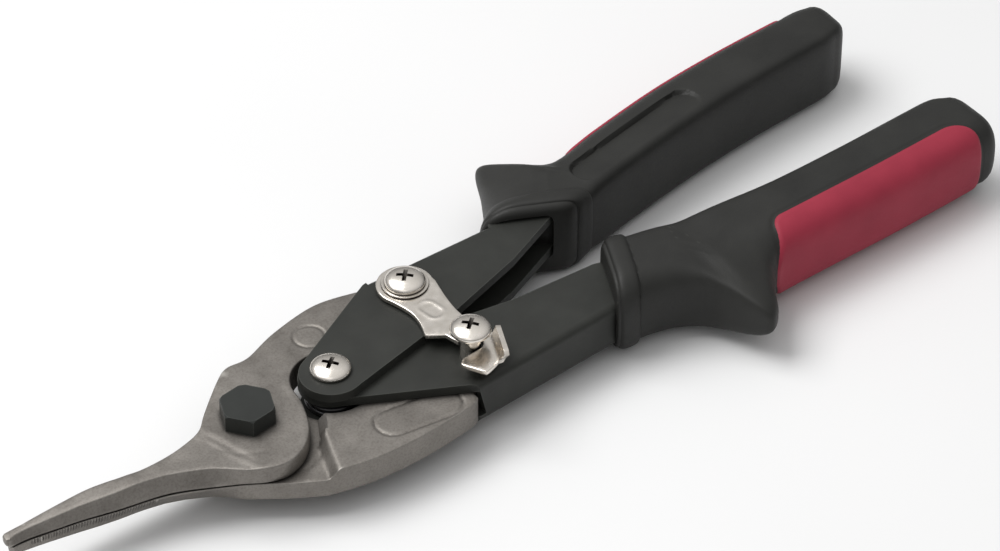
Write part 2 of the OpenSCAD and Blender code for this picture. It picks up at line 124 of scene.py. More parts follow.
def curve(points, spacing):
    """An open smooth line through the points, sampled about every spacing millimetres."""
    points = np.asarray(points, float)
    out = []
    for i in range(len(points) - 1):
        steps = max(1, math.ceil(np.linalg.norm(points[i + 1] - points[i]) / spacing))
        out += [spline(points, i + k / steps) for k in range(steps)]
    return out + [points[-1]]


def arc(middle, r, start, end, spacing=0.8):
    """Points on a circle from one angle to another, in degrees."""
    steps = max(2, math.ceil(abs(math.radians(end - start)) * r / spacing))
    angles = [math.radians(start + (end - start) * k / steps) for k in range(steps + 1)]
    return [np.array([middle[0] + r * math.cos(a), middle[1] + r * math.sin(a)]) for a in angles]


def straight(a, b, spacing=1.0):
    """Points between a and b, without either end."""
    a, b = np.asarray(a, float), np.asarray(b, float)
    steps = max(1, math.ceil(np.linalg.norm(b - a) / spacing))
    return [a + (b - a) * k / steps for k in range(1, steps)]


def closed(*stretches):
    """One closed line from stretches laid end to end, with the gaps between them filled by straight runs."""
    out = []
    for i, stretch in enumerate(stretches):
        out += list(stretch)
        out += straight(stretch[-1], stretches[(i + 1) % len(stretches)][0])
    keep = [p for p, q in zip(out, out[1:] + out[:1]) if np.linalg.norm(p - q) > 0.05]
    return np.array(keep)


def circle(middle, r, count=48):
    angles = np.arange(count) * 2 * np.pi / count
    return np.stack([middle[0] + r * np.cos(angles), middle[1] + r * np.sin(angles)], 1)


def box_distance(x, y, middle, half_l, half_w, angle, corner):
    """Signed distance to a round-cornered rectangle: below 0 inside it."""
    c, s = math.cos(math.radians(angle)), math.sin(math.radians(angle))
    u = abs((x - middle[0]) * c + (y - middle[1]) * s) - half_l + corner
    v = abs((y - middle[1]) * c - (x - middle[0]) * s) - half_w + corner
    return math.hypot(max(u, 0), max(v, 0)) + min(max(u, v), 0) - corner


def groove(distance, width, depth):
    """Height change of a soft groove, by distance from its middle line."""
    return -depth * math.exp(-((distance / width) ** 2))


def past(x, y, line):
    """How far a place lies beyond a slanting line across a blade: line is x, y, slant, scale."""
    at_x, at_y, slant, scale = line
    return scale * (x - at_x + slant * (y - at_y))


# ---------- Meshes ----------

def make(name, points, faces, sharp=38):
    """A smooth-shaded mesh object from points in millimetres; edges over `sharp` degrees stay crisp."""
    mesh = bpy.data.meshes.new(name)
    places = [tuple(c * MM for c in p) for p in points]
    mesh.from_pydata(places, [], [tuple(map(int, f)) for f in faces])
    mesh.validate()
    close_gaps(mesh)
    mesh.shade_smooth()
    mesh.set_sharp_from_angle(angle=math.radians(sharp))
    piece = bpy.data.objects.new(name, mesh)
    bpy.context.scene.collection.objects.link(piece)
    return piece


def close_gaps(mesh, most_sides=12):
    """Fills the sliver gaps that triangulating a plate's face can leave."""
    work = bmesh.new()
    work.from_mesh(mesh)
    gaps = [edge for edge in work.edges if edge.is_boundary]
    if gaps:
        filled = bmesh.ops.holes_fill(work, edges=gaps, sides=most_sides)
        bmesh.ops.triangulate(work, faces=filled["faces"])
        work.to_mesh(mesh)
    work.free()


def turn_way(loop, anticlockwise):
    """The loop, reversed if it runs the wrong way round."""
    area = np.sum(loop[:, 0] * np.roll(loop[:, 1], -1) - np.roll(loop[:, 0], -1) * loop[:, 1])
    return loop if (area > 0) == anticlockwise else loop[::-1]


def inward(loop):
    """Unit normals on the left of a closed line, which is the solid's side."""
    ahead = np.roll(loop, -1, 0) - np.roll(loop, 1, 0)
    left = np.stack([-ahead[:, 1], ahead[:, 0]], 1)
    return left / np.maximum(np.linalg.norm(left, axis=1, keepdims=True), 1e-9)


def within(points, loop):
    """Which points lie inside a closed line."""
    x, y = points[:, 0], points[:, 1]
    hit = np.zeros(len(points), bool)
    for a, b in zip(loop, np.roll(loop, -1, 0)):
        if a[1] == b[1]:
            continue
        hit ^= ((a[1] > y) != (b[1] > y)) & (x < (b[0] - a[0]) * (y - a[1]) / (b[1] - a[1]) + a[0])
    return hit


def fill(loops, spacing, fine):
    """Triangles over a flat area, about `spacing` across, with finer round patches (x, y, r, spacing).
    Returns the inner points, and triangles that index the loops' points and then the inner ones."""
    rim = np.concatenate(loops)
    low, high = rim.min(0), rim.max(0)
    patches = [(None, None, spacing)] + [((x, y), r, s) for x, y, r, s in fine]
    inner = []
    for k, (middle, r, step) in enumerate(patches):
        a, b = (low, high) if middle is None else (np.array(middle) - r, np.array(middle) + r)
        xs, ys = np.meshgrid(np.arange(a[0], b[0], step), np.arange(a[1], b[1], step * 0.87))
        xs[1::2] += step / 2
        grid = np.stack([xs.ravel(), ys.ravel()], 1)
        if middle is not None:
            grid = grid[np.linalg.norm(grid - middle, axis=1) < r]
        for other, reach, _ in patches[k + 1:]:
            grid = grid[np.linalg.norm(grid - other, axis=1) >= reach]
        keep = within(grid, loops[0])
        for hole in loops[1:]:
            keep &= ~within(grid, hole)
        grid = grid[keep]
        near = np.array([np.min(np.linalg.norm(rim - p, axis=1)) for p in grid])
        inner.append(grid[near > 0.5 * step])
    inner = np.concatenate(inner)
    edges, start = [], 0
    for loop in loops:
        edges += [(start + i, start + (i + 1) % len(loop)) for i in range(len(loop))]
        start += len(loop)
    everything = np.concatenate([rim, inner])
    _, _, faces, origins, _, _ = delaunay_2d_cdt([Vector(p) for p in everything], edges, [], 0, 1e-6)
    back = [o[0] if o else -1 for o in origins]
    triangles = np.array([[back[v] for v in f] for f in faces])
    triangles = triangles[(triangles >= 0).all(1)]
    middles = everything[triangles].mean(1)
    keep = within(middles, loops[0])
    for hole in loops[1:]:
        keep &= ~within(middles, hole)
    return inner, triangles[keep]


def unmoved(*_):
    """A wall that stands where its outline puts it."""
    return 0.0


def plate(name, edge, holes, top, bottom, rim, lean_top=unmoved, lean_bottom=unmoved,
          bumps=unmoved, spacing=1.2, fine=(), rows=4):
    """A forged or pressed plate: a plan outline with holes, curved top and bottom faces and rounded rims.
    lean_top and lean_bottom pull the two faces' outlines in; bumps moves the wall in at a place and
    height."""
    loops = [turn_way(np.asarray(edge, float), True)]
    loops += [turn_way(np.asarray(hole, float), False) for hole in holes]
    rim_steps = 3
    turns = [math.pi / 2 * k / rim_steps for k in range(rim_steps + 1)]
    points, faces, top_rings, low_rings = [], [], [], []
    for which, loop in enumerate(loops):
        normals = inward(loop)
        outer = which == 0
        top_in = np.array([lean_top(x, y, n) if outer else 0.0 for (x, y), n in zip(loop, normals)])
        low_in = np.array([lean_bottom(x, y, n) if outer else 0.0 for (x, y), n in zip(loop, normals)])
        rings = []
        for t in reversed(turns):
            flat = loop + normals * (low_in + rim * (1 - math.cos(t)))[:, None]
            rings.append([(x, y, bottom(x, y) + rim * (1 - math.sin(t))) for x, y in flat])
        for k in range(1, rows):
            u = k / rows
            push = low_in * (1 - u) + top_in * u
            if outer:
                push = push + np.array([bumps(x, y, u) for x, y in loop])
            flat = loop + normals * push[:, None]
            rings.append([(x, y, (bottom(x, y) + rim) * (1 - u) + (top(x, y) - rim) * u) for x, y in flat])
        for t in turns:
            bump = np.array([bumps(x, y, 1.0) for x, y in loop]) * math.cos(t) if outer else 0
            flat = loop + normals * (top_in + rim * (1 - math.cos(t)) + bump)[:, None]
            rings.append([(x, y, top(x, y) - rim * (1 - math.sin(t))) for x, y in flat])
        first, n = len(points), len(loop)
        for ring in rings:
            points += ring
        for r in range(len(rings) - 1):
            for i in range(n):
                a, b = first + r * n + i, first + r * n + (i + 1) % n
                faces.append((a, b, b + n, a + n))
        low_rings.append((first, np.array(rings[0])[:, :2]))
        top_rings.append((first + (len(rings) - 1) * n, np.array(rings[-1])[:, :2]))
    for rings, height, flip in ((top_rings, top, False), (low_rings, bottom, True)):
        inner, triangles = fill([flat for _, flat in rings], spacing, fine)
        names = np.concatenate([first + np.arange(len(flat)) for first, flat in rings])
        names = np.concatenate([names, len(points) + np.arange(len(inner))])
        points += [(x, y, height(x, y)) for x, y in inner]
        for a, b, c in names[triangles]:
            faces.append((c, b, a) if flip else (a, b, c))
    return make(name, points, faces)


def skin(rings, cap_ends=True):
    """Points and faces of a tube over rings with the same number of points each, closed by a fan at
    each end unless the caller closes them."""
    n, m = len(rings[0]), len(rings)
    points = [tuple(p) for ring in rings for p in ring]
    faces = [(i * n + j, i * n + (j + 1) % n, (i + 1) * n + (j + 1) % n, (i + 1) * n + j)
             for i in range(m - 1) for j in range(n)]
    if cap_ends:
        for i, flip in ((0, True), (m - 1, False)):
            points.append(tuple(np.mean(rings[i], 0)))
            hub = len(points) - 1
            for j in range(n):
                a, b = i * n + j, i * n + (j + 1) % n
                faces.append((b, a, hub) if flip else (a, b, hub))
    return points, faces


def lathe(profile, middle, count=64):
    """A closed turned solid: profile is (radius, height) pairs from the bottom of its axis to the top."""
    rings = []
    for r, z in profile:
        ring = circle(middle, r, count)
        rings.append(np.column_stack([ring, np.full(count, z)]))
    return skin(rings)


def cut(piece, cutter):
    """Takes the cutter out of the piece for good."""
    modifier = piece.modifiers.new("cut", "BOOLEAN")
    modifier.operation = "DIFFERENCE"
    modifier.solver = "EXACT"
    modifier.object = cutter
    bpy.context.view_layer.update()
    done = piece.evaluated_get(bpy.context.evaluated_depsgraph_get())
    mesh = bpy.data.meshes.new_from_object(done)
    piece.modifiers.clear()
    piece.data = mesh
    bpy.data.objects.remove(cutter)
    return piece


def soften(piece, width, angle=32, segments=2):
    """A small rounded bevel on a piece's hard edges, with flat faces left flat."""
    normals = piece.data.attributes.get("custom_normal")
    if normals:
        piece.data.attributes.remove(normals)
    weld = piece.modifiers.new("weld", "WELD")
    weld.merge_threshold = 0.01 * MM
    flat = piece.modifiers.new("flat", "DECIMATE")
    flat.decimate_type = "DISSOLVE"
    flat.angle_limit = math.radians(0.5)
    bevel = piece.modifiers.new("bevel", "BEVEL")
    bevel.width = width * MM
    bevel.segments = segments
    bevel.limit_method = "ANGLE"
    bevel.angle_limit = math.radians(angle)
    shade = piece.modifiers.new("shade", "WEIGHTED_NORMAL")
    shade.weight = 100
    shade.keep_sharp = False
    piece.data.shade_smooth()


# ---------- Materials ----------

class Nodes:
    """A material's node tree, with short calls for what every finish here needs."""

    def __init__(self, name):
        self.material = bpy.data.materials.new(name)
        self.material.use_nodes = True
        self.tree = self.material.node_tree
        self.shader = self.tree.nodes["Principled BSDF"]
        self.place = self.add("ShaderNodeTexCoord").outputs["Object"]

    def add(self, kind, **values):
        node = self.tree.nodes.new(kind)
        for key, value in values.items():
            setattr(node, key, value)
        return node

    def link(self, a, b):
        self.tree.links.new(a, b)

    def noise(self, size_mm, detail=4, rough=0.55, stretch=(1, 1, 1)):
        """Noise whose features are about size_mm across."""
        mapping = self.add("ShaderNodeMapping")
        mapping.inputs["Scale"].default_value = [s / (size_mm * MM) for s in stretch]
        self.link(self.place, mapping.inputs["Vector"])
        texture = self.add("ShaderNodeTexNoise")
        texture.inputs["Scale"].default_value = 1
        texture.inputs["Detail"].default_value = detail
        texture.inputs["Roughness"].default_value = rough
        self.link(mapping.outputs["Vector"], texture.inputs["Vector"])
        return texture.outputs["Fac"]

    def ramp(self, value, stops):
        node = self.add("ShaderNodeValToRGB")
        elements = node.color_ramp.elements
        while len(elements) < len(stops):
            elements.new(0.5)
        for element, (at, colour) in zip(elements, stops):
            element.position = at
            element.color = (*colour, 1)
        self.link(value, node.inputs["Fac"])
        return node.outputs["Color"]

    def span(self, value, low, high, out_low, out_high):
        node = self.add("ShaderNodeMapRange")
        ends = {"From Min": low, "From Max": high, "To Min": out_low, "To Max": out_high}
        for key, number in ends.items():
            node.inputs[key].default_value = number
        self.link(value, node.inputs["Value"])
        return node.outputs["Result"]

    def mix(self, factor, a, b, blend="MIX"):
        node = self.add("ShaderNodeMix", data_type="RGBA", blend_type=blend)
        for socket, value in ((node.inputs[0], factor), (node.inputs[6], a), (node.inputs[7], b)):
            if isinstance(value, (int, float)):
                socket.default_value = value
            elif isinstance(value, tuple):
                socket.default_value = (*value, 1)
            else:
                self.link(value, socket)
        return node.outputs[2]

    def edges(self, low=0.5, high=0.6):
        """1 on worn convex edges, 0 elsewhere."""
        return self.span(self.add("ShaderNodeNewGeometry").outputs["Pointiness"], low, high, 0, 1)

    def rims(self, radius_mm):
        """1 along edges, 0 on flats, whatever the mesh; for coarse meshes of flat faces."""
        rounded = self.add("ShaderNodeBevel", samples=4)
        rounded.inputs["Radius"].default_value = radius_mm * MM
        meet = self.add("ShaderNodeVectorMath", operation="DOT_PRODUCT")
        self.link(rounded.outputs["Normal"], meet.inputs[0])
        self.link(self.add("ShaderNodeNewGeometry").outputs["Normal"], meet.inputs[1])
        return self.span(meet.outputs["Value"], 0.98, 0.80, 0, 1)

    def painted_hollow_shade(self, reach_mm, low, high, darkest):
        """Painted shade for recesses and corners, from ambient occlusion: darkest deep inside, 1 on open
        surfaces.
        """
        shadow = self.add("ShaderNodeAmbientOcclusion", samples=8)
        shadow.inputs["Distance"].default_value = reach_mm * MM
        return self.span(shadow.outputs["AO"], low, high, darkest, 1)

    def bump(self, *layers):
        """Stacks height layers, each (value, depth in millimetres)."""
        normal = None
        for value, depth in layers:
            node = self.add("ShaderNodeBump")
            node.inputs["Distance"].default_value = depth * MM
            node.inputs["Strength"].default_value = 1
            self.link(value, node.inputs["Height"])
            if normal is not None:
                self.link(normal, node.inputs["Normal"])
            normal = node.outputs["Normal"]
        self.link(normal, self.shader.inputs["Normal"])

    def put(self, colour, roughness, metallic, specular=0.5):
        self.link(colour, self.shader.inputs["Base Color"])
        self.link(roughness, self.shader.inputs["Roughness"])
        self.shader.inputs["Metallic"].default_value = metallic
        self.shader.inputs["Specular IOR Level"].default_value = specular
        return self.material


def forged_steel():
    """Bare drop-forged steel: warm grey, faintly mottled and pitted, brighter along its rims."""
    n = Nodes("forged_steel")
    cloud, grain = n.noise(7, 5), n.noise(0.55, 6, 0.7)
    base = n.ramp(cloud, [(0.3, (0.184, 0.170, 0.154)), (0.7, (0.257, 0.240, 0.219))])
    specks = n.ramp(grain, [(0.34, (0.72, 0.70, 0.68)), (0.55, (1, 1, 1))])
    base = n.mix(0.8, base, specks, "MULTIPLY")
    base = n.mix(n.edges(0.52, 0.66), base, (0.42, 0.40, 0.37))
    # painted shade: the steel's colour is darkened in recesses and corners by ambient occlusion
    base = n.mix(1.0, base, n.painted_hollow_shade(1.2, 0.6, 0.96, 0.35), "MULTIPLY")
    n.bump((n.noise(3.5, 3), 0.05), (grain, 0.035))
    return n.put(base, n.span(cloud, 0.3, 0.7, 0.40, 0.54), 0.75)


def black_oxide(name="oxide_steel", tint=(0.026, 0.027, 0.024)):
    """Blackened steel sheet: an even olive-black film with fine rolling grain and rubbed edges."""
    n = Nodes(name)
    cloud, grain = n.noise(11, 4), n.noise(0.3, 5, 0.7)
    dark, light = tuple(0.82 * c for c in tint), tuple(1.22 * c for c in tint)
    base = n.ramp(cloud, [(0.3, dark), (0.72, light)])
    base = n.mix(n.rims(0.5), base, tuple(2.2 * c for c in tint))
    n.bump((n.noise(0.9, 3, stretch=(0.3, 1, 1)), 0.012), (grain, 0.014))
    return n.put(base, n.span(grain, 0.3, 0.7, 0.40, 0.54), 0.15, 0.30)


def nickel():
    """Satin nickel plate: warm, bright, slightly cloudy."""
    n = Nodes("nickel")
    cloud, grain = n.noise(2.2, 4), n.noise(0.18, 4)
    base = n.ramp(cloud, [(0.25, (0.76, 0.71, 0.64)), (0.75, (0.86, 0.81, 0.75))])
    # painted shade: the nickel's colour is darkened in recesses, such as the driver recesses, by ambient
    # occlusion
    base = n.mix(1.0, base, n.painted_hollow_shade(1.6, 0.45, 0.85, 0.20), "MULTIPLY")
    n.bump((cloud, 0.004), (grain, 0.003))
    return n.put(base, n.span(cloud, 0.3, 0.7, 0.20, 0.29), 1.0)


def spring_steel():
    """Oil-dark drawn wire with streaks along its length."""
    n = Nodes("spring_steel")
    cloud = n.noise(2.5, 4, stretch=(0.3, 1, 1))
    base = n.ramp(cloud, [(0.3, (0.05, 0.05, 0.052)), (0.7, (0.12, 0.12, 0.122))])
    n.bump((n.noise(0.25, 3), 0.01))
    return n.put(base, n.span(cloud, 0.3, 0.7, 0.28, 0.45), 0.9)


def moulded(name, dark, light, specular, rough, scuff, sheen=0.0):
    """Moulded plastic: a fine spark-eroded texture, faint clouds of colour, and scuffed ridges."""
    n = Nodes(name)
    cloud, grain = n.noise(14, 4), n.noise(0.42, 6, 0.68)
    base = n.ramp(cloud, [(0.3, dark), (0.7, light)])
    base = n.mix(n.span(grain, 0.62, 0.8, 0, 0.35), base, scuff)
    base = n.mix(n.edges(0.56, 0.74), base, scuff)
    n.bump((n.noise(2.4, 2), 0.02), (grain, 0.045))
    n.shader.inputs["Sheen Weight"].default_value = sheen
    n.shader.inputs["Sheen Tint"].default_value = (*scuff, 1)
    return n.put(base, n.span(grain, 0.3, 0.7, rough - 0.06, rough + 0.08), 0.0, specular)


def paint(piece, material):
    piece.data.materials.clear()
    piece.data.materials.append(material)


FORGED = forged_steel()
OXIDE = black_oxide()
BOLT_BLACK = black_oxide("bolt_black", (0.024, 0.026, 0.024))
NICKEL = nickel()
SPRING = spring_steel()
GRIP_BLACK = moulded("grip_black", (0.015, 0.015, 0.0138), (0.023, 0.023, 0.021),
                     specular=0.28, rough=0.50, scuff=(0.046, 0.046, 0.042))
INSERT_RED = moulded("insert_red", (0.255, 0.020, 0.040), (0.32, 0.028, 0.052),
                     specular=0.25, rough=0.55, scuff=(0.42, 0.08, 0.12), sheen=0.35)


# ---------- Blades ----------

# Two lines across the blades, as past() takes them: the crease between the upper boss and jaw, and the
# foot of the lower blade's ramp.
CREASE = (-9.0, -4.7, 0.292, 0.96)
RAMP_FOOT = (12.1, -9.3, -0.368, 0.938)
RING_STAMP = (26, 14.3)
RING_STAMP_R = 3.6
OVAL_STAMP = (32.5, -18.6)
SEAT_R = 11.5           # edge of the flat that the main bolt's washer wore
NEAR_FACE = 0.3         # walls whose inward normal has more y than this face the camera
FORGE_WAVE = 0.05       # depth of the forging's slow waves
TEETH_FROM, TEETH_TO = -58, -26
TEETH_PITCH, TEETH_DEEP = 0.64, 0.26


def jaw_top(x, y):
    """Top of the upper blade: level at the boss and thinning to the tip. A crease parts the boss from
    the jaw, a faint ring surrounds the bolt, and a ring is stamped in the tang."""
    z = BLADE_TOP - 2.25 * np.clip((-31 - x) / 30, 0, 1)
    beyond = past(x, y, CREASE)
    middle = smooth((4.5 - y) / 5) * smooth((y + 15) / 7)
    z -= 0.28 * smooth(-beyond / 2.4)
    z += groove(beyond, 1.0, 0.18) * middle
    z += groove(math.hypot(x, y) - SEAT_R, 0.5, 0.05)
    z += groove(math.hypot(x - RING_STAMP[0], y - RING_STAMP[1]) - RING_STAMP_R, 0.38, 0.2)
    return z + FORGE_WAVE * noise.noise(Vector((x * 0.16, y * 0.16, 1.5)))


def upper_underside(x, y):
    """Flat along the shear plane, stepping down beyond the half lap to fill the handle."""
    step = smooth((math.hypot(x, y) - LAP_R) / 0.5) if x > 0 else 0
    return SHEAR_GAP + (TANG_DEEP - SHEAR_GAP) * float(step)


def upper_lean(x, y, normal):
    """The near face of the jaw leans in towards its top, less so right at the tip."""
    if normal[1] < NEAR_FACE:
        return 0.0
    past_boss, off_tip = float(smooth((-8 - x) / 9)), float(smooth((x + JAW_TIP) / 4 + 0.35))
    return 0.38 * jaw_top(x, y) * past_boss * off_tip


JAW_TIP = 61.5          # how far the tip stands from the main bolt
UPPER_FAR = [(44.6, 20.3), (33.1, 22.5), (20.3, 20.1), (11, 16.6), (5.2, 16.5), (0.9, 13.8), (-6.9, 6.9),
             (-10.6, 3.2), (-14.4, 1.7), (-20, 0.5), (-26.9, 0.1), (-31.7, 0.8), (-36.5, 1.9), (-41, 2.6),
             (-48, 2.75), (-56, 2.7), (-60.6, 2.75)]
UPPER_TIP = [(-61.3, 2.4), (-JAW_TIP, 1.6), (-JAW_TIP, 0.6), (-61.1, -0.15)]
UPPER_NEAR = [(-60.4, -0.3), (-56.5, -0.35), (-49, -1.5), (-44.2, -2.25), (-39.7, -3.3), (-35.2, -4.3),
              (-30.3, -5.1), (-25.6, -6.1), (-21.5, -7.6), (-16.5, -10), (-10.8, -12.9), (-5.4, -16),
              (-0.8, -17), (4.2, -15.3), (8.2, -11.7), (10.6, -7.6), (12.2, -3.5), (12.8, -1.5)]


def tang_inner(side):
    """The hidden inner stretch of a tang, from its round end to the notch that clears the front pivot."""
    link = THUMB_LINK if side > 0 else FINGER_LINK
    end = arc(link, TANG_END_R, 95, -90) if side > 0 else arc(link, TANG_END_R, 90, -95)
    notch = arc(FRONT_PIVOT, NOTCH_R, 68, 168) if side > 0 else arc(FRONT_PIVOT, NOTCH_R, 192, 292)
    return (end, notch) if side > 0 else (notch, end)


def upper_blade():
    end, notch = tang_inner(1)
    edge = closed(curve(UPPER_NEAR, 0.9), notch[::-1], end[::-1], curve(UPPER_FAR, 0.9),
                  curve(UPPER_TIP, 0.4))
    holes = [circle((0, 0), 4.3), circle(THUMB_LINK, BUSH_R + HOLE_GAP)]
    fine = [(*RING_STAMP, 5, 0.3), (-8.5, -9, 6, 0.45), (-10.5, 0, 5.5, 0.45)]
    piece = plate("upper_blade_forging", edge, holes, jaw_top, upper_underside, 0.42,
                  lean_top=upper_lean, fine=fine, spacing=1.1)
    paint(piece, FORGED)
    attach(piece, "upper_blade")
    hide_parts("upper_blade")


def lower_face(x, y):
    """Top of the lower blade: the shear plane, then a ramp up to the raised, stamped tang."""
    out = math.hypot(x, y)
    ramp = float(smooth((past(x, y, RAMP_FOOT) + 1.4) / 2.8) * smooth((out - BOSS_CLEAR_R) / 0.8))
    z = -SHEAR_GAP + (-TANG_DEEP + SHEAR_GAP) * ramp
    z += groove(out - LAP_R, 0.34, 0.16) * float(smooth((x - 1) / 3)) * (1 - ramp)
    rim = box_distance(x, y, OVAL_STAMP, half_l=10.5, half_w=4.3, angle=-7, corner=4.2)
    z += groove(rim, 0.36, 0.30) - 0.08 * float(smooth(-rim / 0.6))
    return z + FORGE_WAVE * noise.noise(Vector((x * 0.2, y * 0.2, 7.5))) * ramp


def lower_underside(x, y):
    """The lower blade deepens from its tip to its boss, with a belly along the jaw and a waist after it."""
    tip, root = -2.3, -BLADE_TOP
    belly = -groove(x + 43, 9, 0.7) + groove(x + 20, 8, 0.5)
    return tip + (root - tip) * float(smooth((x + JAW_TIP) / 46)) - belly


def lower_lean(x, y, normal):
    """The near face of the lower jaw tucks in towards its underside."""
    if normal[1] < NEAR_FACE:
        return 0.0
    return 2.0 * float(smooth((x + JAW_TIP) / 34)) * float(smooth((-8 - x) / 9))


def serrations(x, y, u):
    """Fine upright teeth in the upper part of the lower jaw's near face."""
    if y > 0.4 or not TEETH_FROM < x < TEETH_TO:
        return 0.0
    fade = smooth((x - TEETH_FROM) / 3) * smooth((TEETH_TO - x) / 3) * smooth((u - 0.30) / 0.25)
    return TEETH_DEEP * float(fade) * (0.5 - 0.5 * math.cos(2 * math.pi * x / TEETH_PITCH))


LOWER_EDGE = [(-60.3, -0.4), (-58, -0.6), (-49, -1.8), (-44.2, -2.55), (-39.7, -3.6), (-35.2, -4.6),
              (-30.3, -5.4), (-25.6, -6.4)]
LOWER_NEAR = [(-21.5, -7.9), (-16.5, -10.2), (-12, -12.4), (-7.6, -14.8), (-3.1, -17.9), (2.6, -21.3),
              (6.8, -23.2), (16.4, -25.1), (27.3, -25.4), (37, -24.6), (43.8, -23.5), (45.8, -22.4)]
LOWER_CORNER = (45.6, -17.4)
LOWER_FAR = [(12.2, 3.5), (9.5, 10.5), (5.5, 15), (1, 14.5), (-4.5, 9.4), (-12, 4.2), (-25, 2.7),
             (-59.5, 2.3)]
LOWER_TIP = [(-60.6, 1.6), (-60.8, 0.4)]


def lower_blade():
    notch, end = tang_inner(-1)
    edge = closed(curve(LOWER_EDGE, TEETH_PITCH / 4), curve(LOWER_NEAR, 0.9), [np.array(LOWER_CORNER)],
                  end[::-1], notch[::-1], curve(LOWER_FAR, 0.9), curve(LOWER_TIP, 0.4))
    holes = [circle((0, 0), 4.0), circle(FINGER_LINK, BUSH_R + HOLE_GAP)]
    piece = plate("lower_blade_forging", edge, holes, lower_face, lower_underside, 0.22,
                  lean_bottom=lower_lean, bumps=serrations, spacing=1.1, rows=8,
                  fine=[(32, -18.6, 12, 0.42), (10, -17, 7, 0.6)])
    paint(piece, FORGED)
    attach(piece, "lower_blade")
    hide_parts("lower_blade")


# ---------- Screws ----------

HEAD_R = 4.65
HEAD_H = 2.35
HEAD_BRIM = 0.62        # height of the head's rolled rim, where its dome begins
SHANK_R = 2.4
TAIL_CHAMFER = 0.4
AXIS_R = 0.05           # a turned solid's ends close on a ring this small


def cross_recess(middle, z, angle):
    """The tapered cross-shaped driver recess, as a cutter: each level has an arm length and half width."""
    rings = []
    for reach, half_w, height in ((0.9, 0.28, z - 1.9), (1.75, 0.44, z - 0.6), (2.5, 0.58, z + 1.0)):
        ring = []
        for turn in (0, 90, 180, 270):
            c, s = math.cos(math.radians(angle + turn)), math.sin(math.radians(angle + turn))
            for u, v in ((reach, -half_w), (reach, half_w), (half_w, half_w)):
                ring.append((middle[0] + u * c - v * s, middle[1] + u * s + v * c, height))
        rings.append(ring)
    points, faces = skin(rings)
    return make("recess", points, faces)


def pan_screw(name, node, body, middle, angle):
    """A pan-head screw: domed head with a rolled rim and a driver recess, shank and chamfered tail."""
    top, low = level(node), level(node, top=False)
    under = top - HEAD_H
    tail = [(AXIS_R, low), (SHANK_R - TAIL_CHAMFER, low), (SHANK_R, low + TAIL_CHAMFER)]
    rim = [(SHANK_R, under), (HEAD_R - 0.35, under), (HEAD_R - 0.1, under + 0.1), (HEAD_R, under + 0.35)]
    dome = [(HEAD_R * math.cos(a), under + HEAD_BRIM + (HEAD_H - HEAD_BRIM) * math.sin(a))
            for a in np.radians(np.linspace(6, 86, 14))]
    profile = tail + rim + dome + [(AXIS_R, top)]
    points, faces = lathe(profile, middle)
    piece = cut(make(name, points, faces), cross_recess(middle, top, angle))
    piece.data.shade_smooth()
    piece.data.set_sharp_from_angle(angle=math.radians(35))
    paint(piece, NICKEL)
    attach(piece, body)
    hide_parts(node)


# ---------- Latch ----------

LATCH_THICK = 1.2
LATCH_OVAL = (50.6, 1.8)


def latch():
    """The latch plate: an eye on the thumb link's screw, a waisted arm with an embossed oval, and a hook
    whose slot takes the latch post."""
    low, high = LATCH_LOW, LATCH_LOW + LATCH_THICK
    eye_r, slot_r = 6.6, SHANK_R + 0.35
    left = curve([(45.0, 9.8), (45.9, 6.6), (46.4, 3.2), (45.9, -0.4), (44.75, -3.6)], 0.5)
    corner = curve([(44.6, -4.3), (45.0, -4.75), (48.2, -6.9)], 0.4)
    upper = arc(FINGER_LINK, slot_r, 133, -62, 0.4)
    tip = curve([(46.6, -15.6), (45.6, -16.4), (45.3, -17.2), (46.6, -19.6), (48.0, -21.9), (48.9, -22.2),
                 (52.6, -20.9), (54.2, -19.2)], 0.5)
    right = curve([(57.2, -13.2), (57.0, -10.8), (55.7, -6.5), (55.3, -2.0), (56.0, 3.5), (57.4, 9.6)], 0.5)
    eye = arc(THUMB_LINK, eye_r, -14, 194, 0.5)
    edge = closed(left, corner, upper, tip, right, eye)

    def top(x, y):
        rim = box_distance(x, y, LATCH_OVAL, half_l=3.3, half_w=2.1, angle=-80, corner=2.05)
        return high - groove(rim, 0.55, 0.10) - 0.04 * float(smooth(-rim / 0.8))

    hole = circle(THUMB_LINK, BUSH_R + HOLE_GAP)
    piece = plate("latch_plate", edge, [hole], top, lambda x, y: low, 0.28,
                  fine=[(*LATCH_OVAL, 4.6, 0.3)], spacing=0.9, rows=3)
    paint(piece, NICKEL)
    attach(piece, "latch")
    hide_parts("latch")
    latch_tab(low, high)


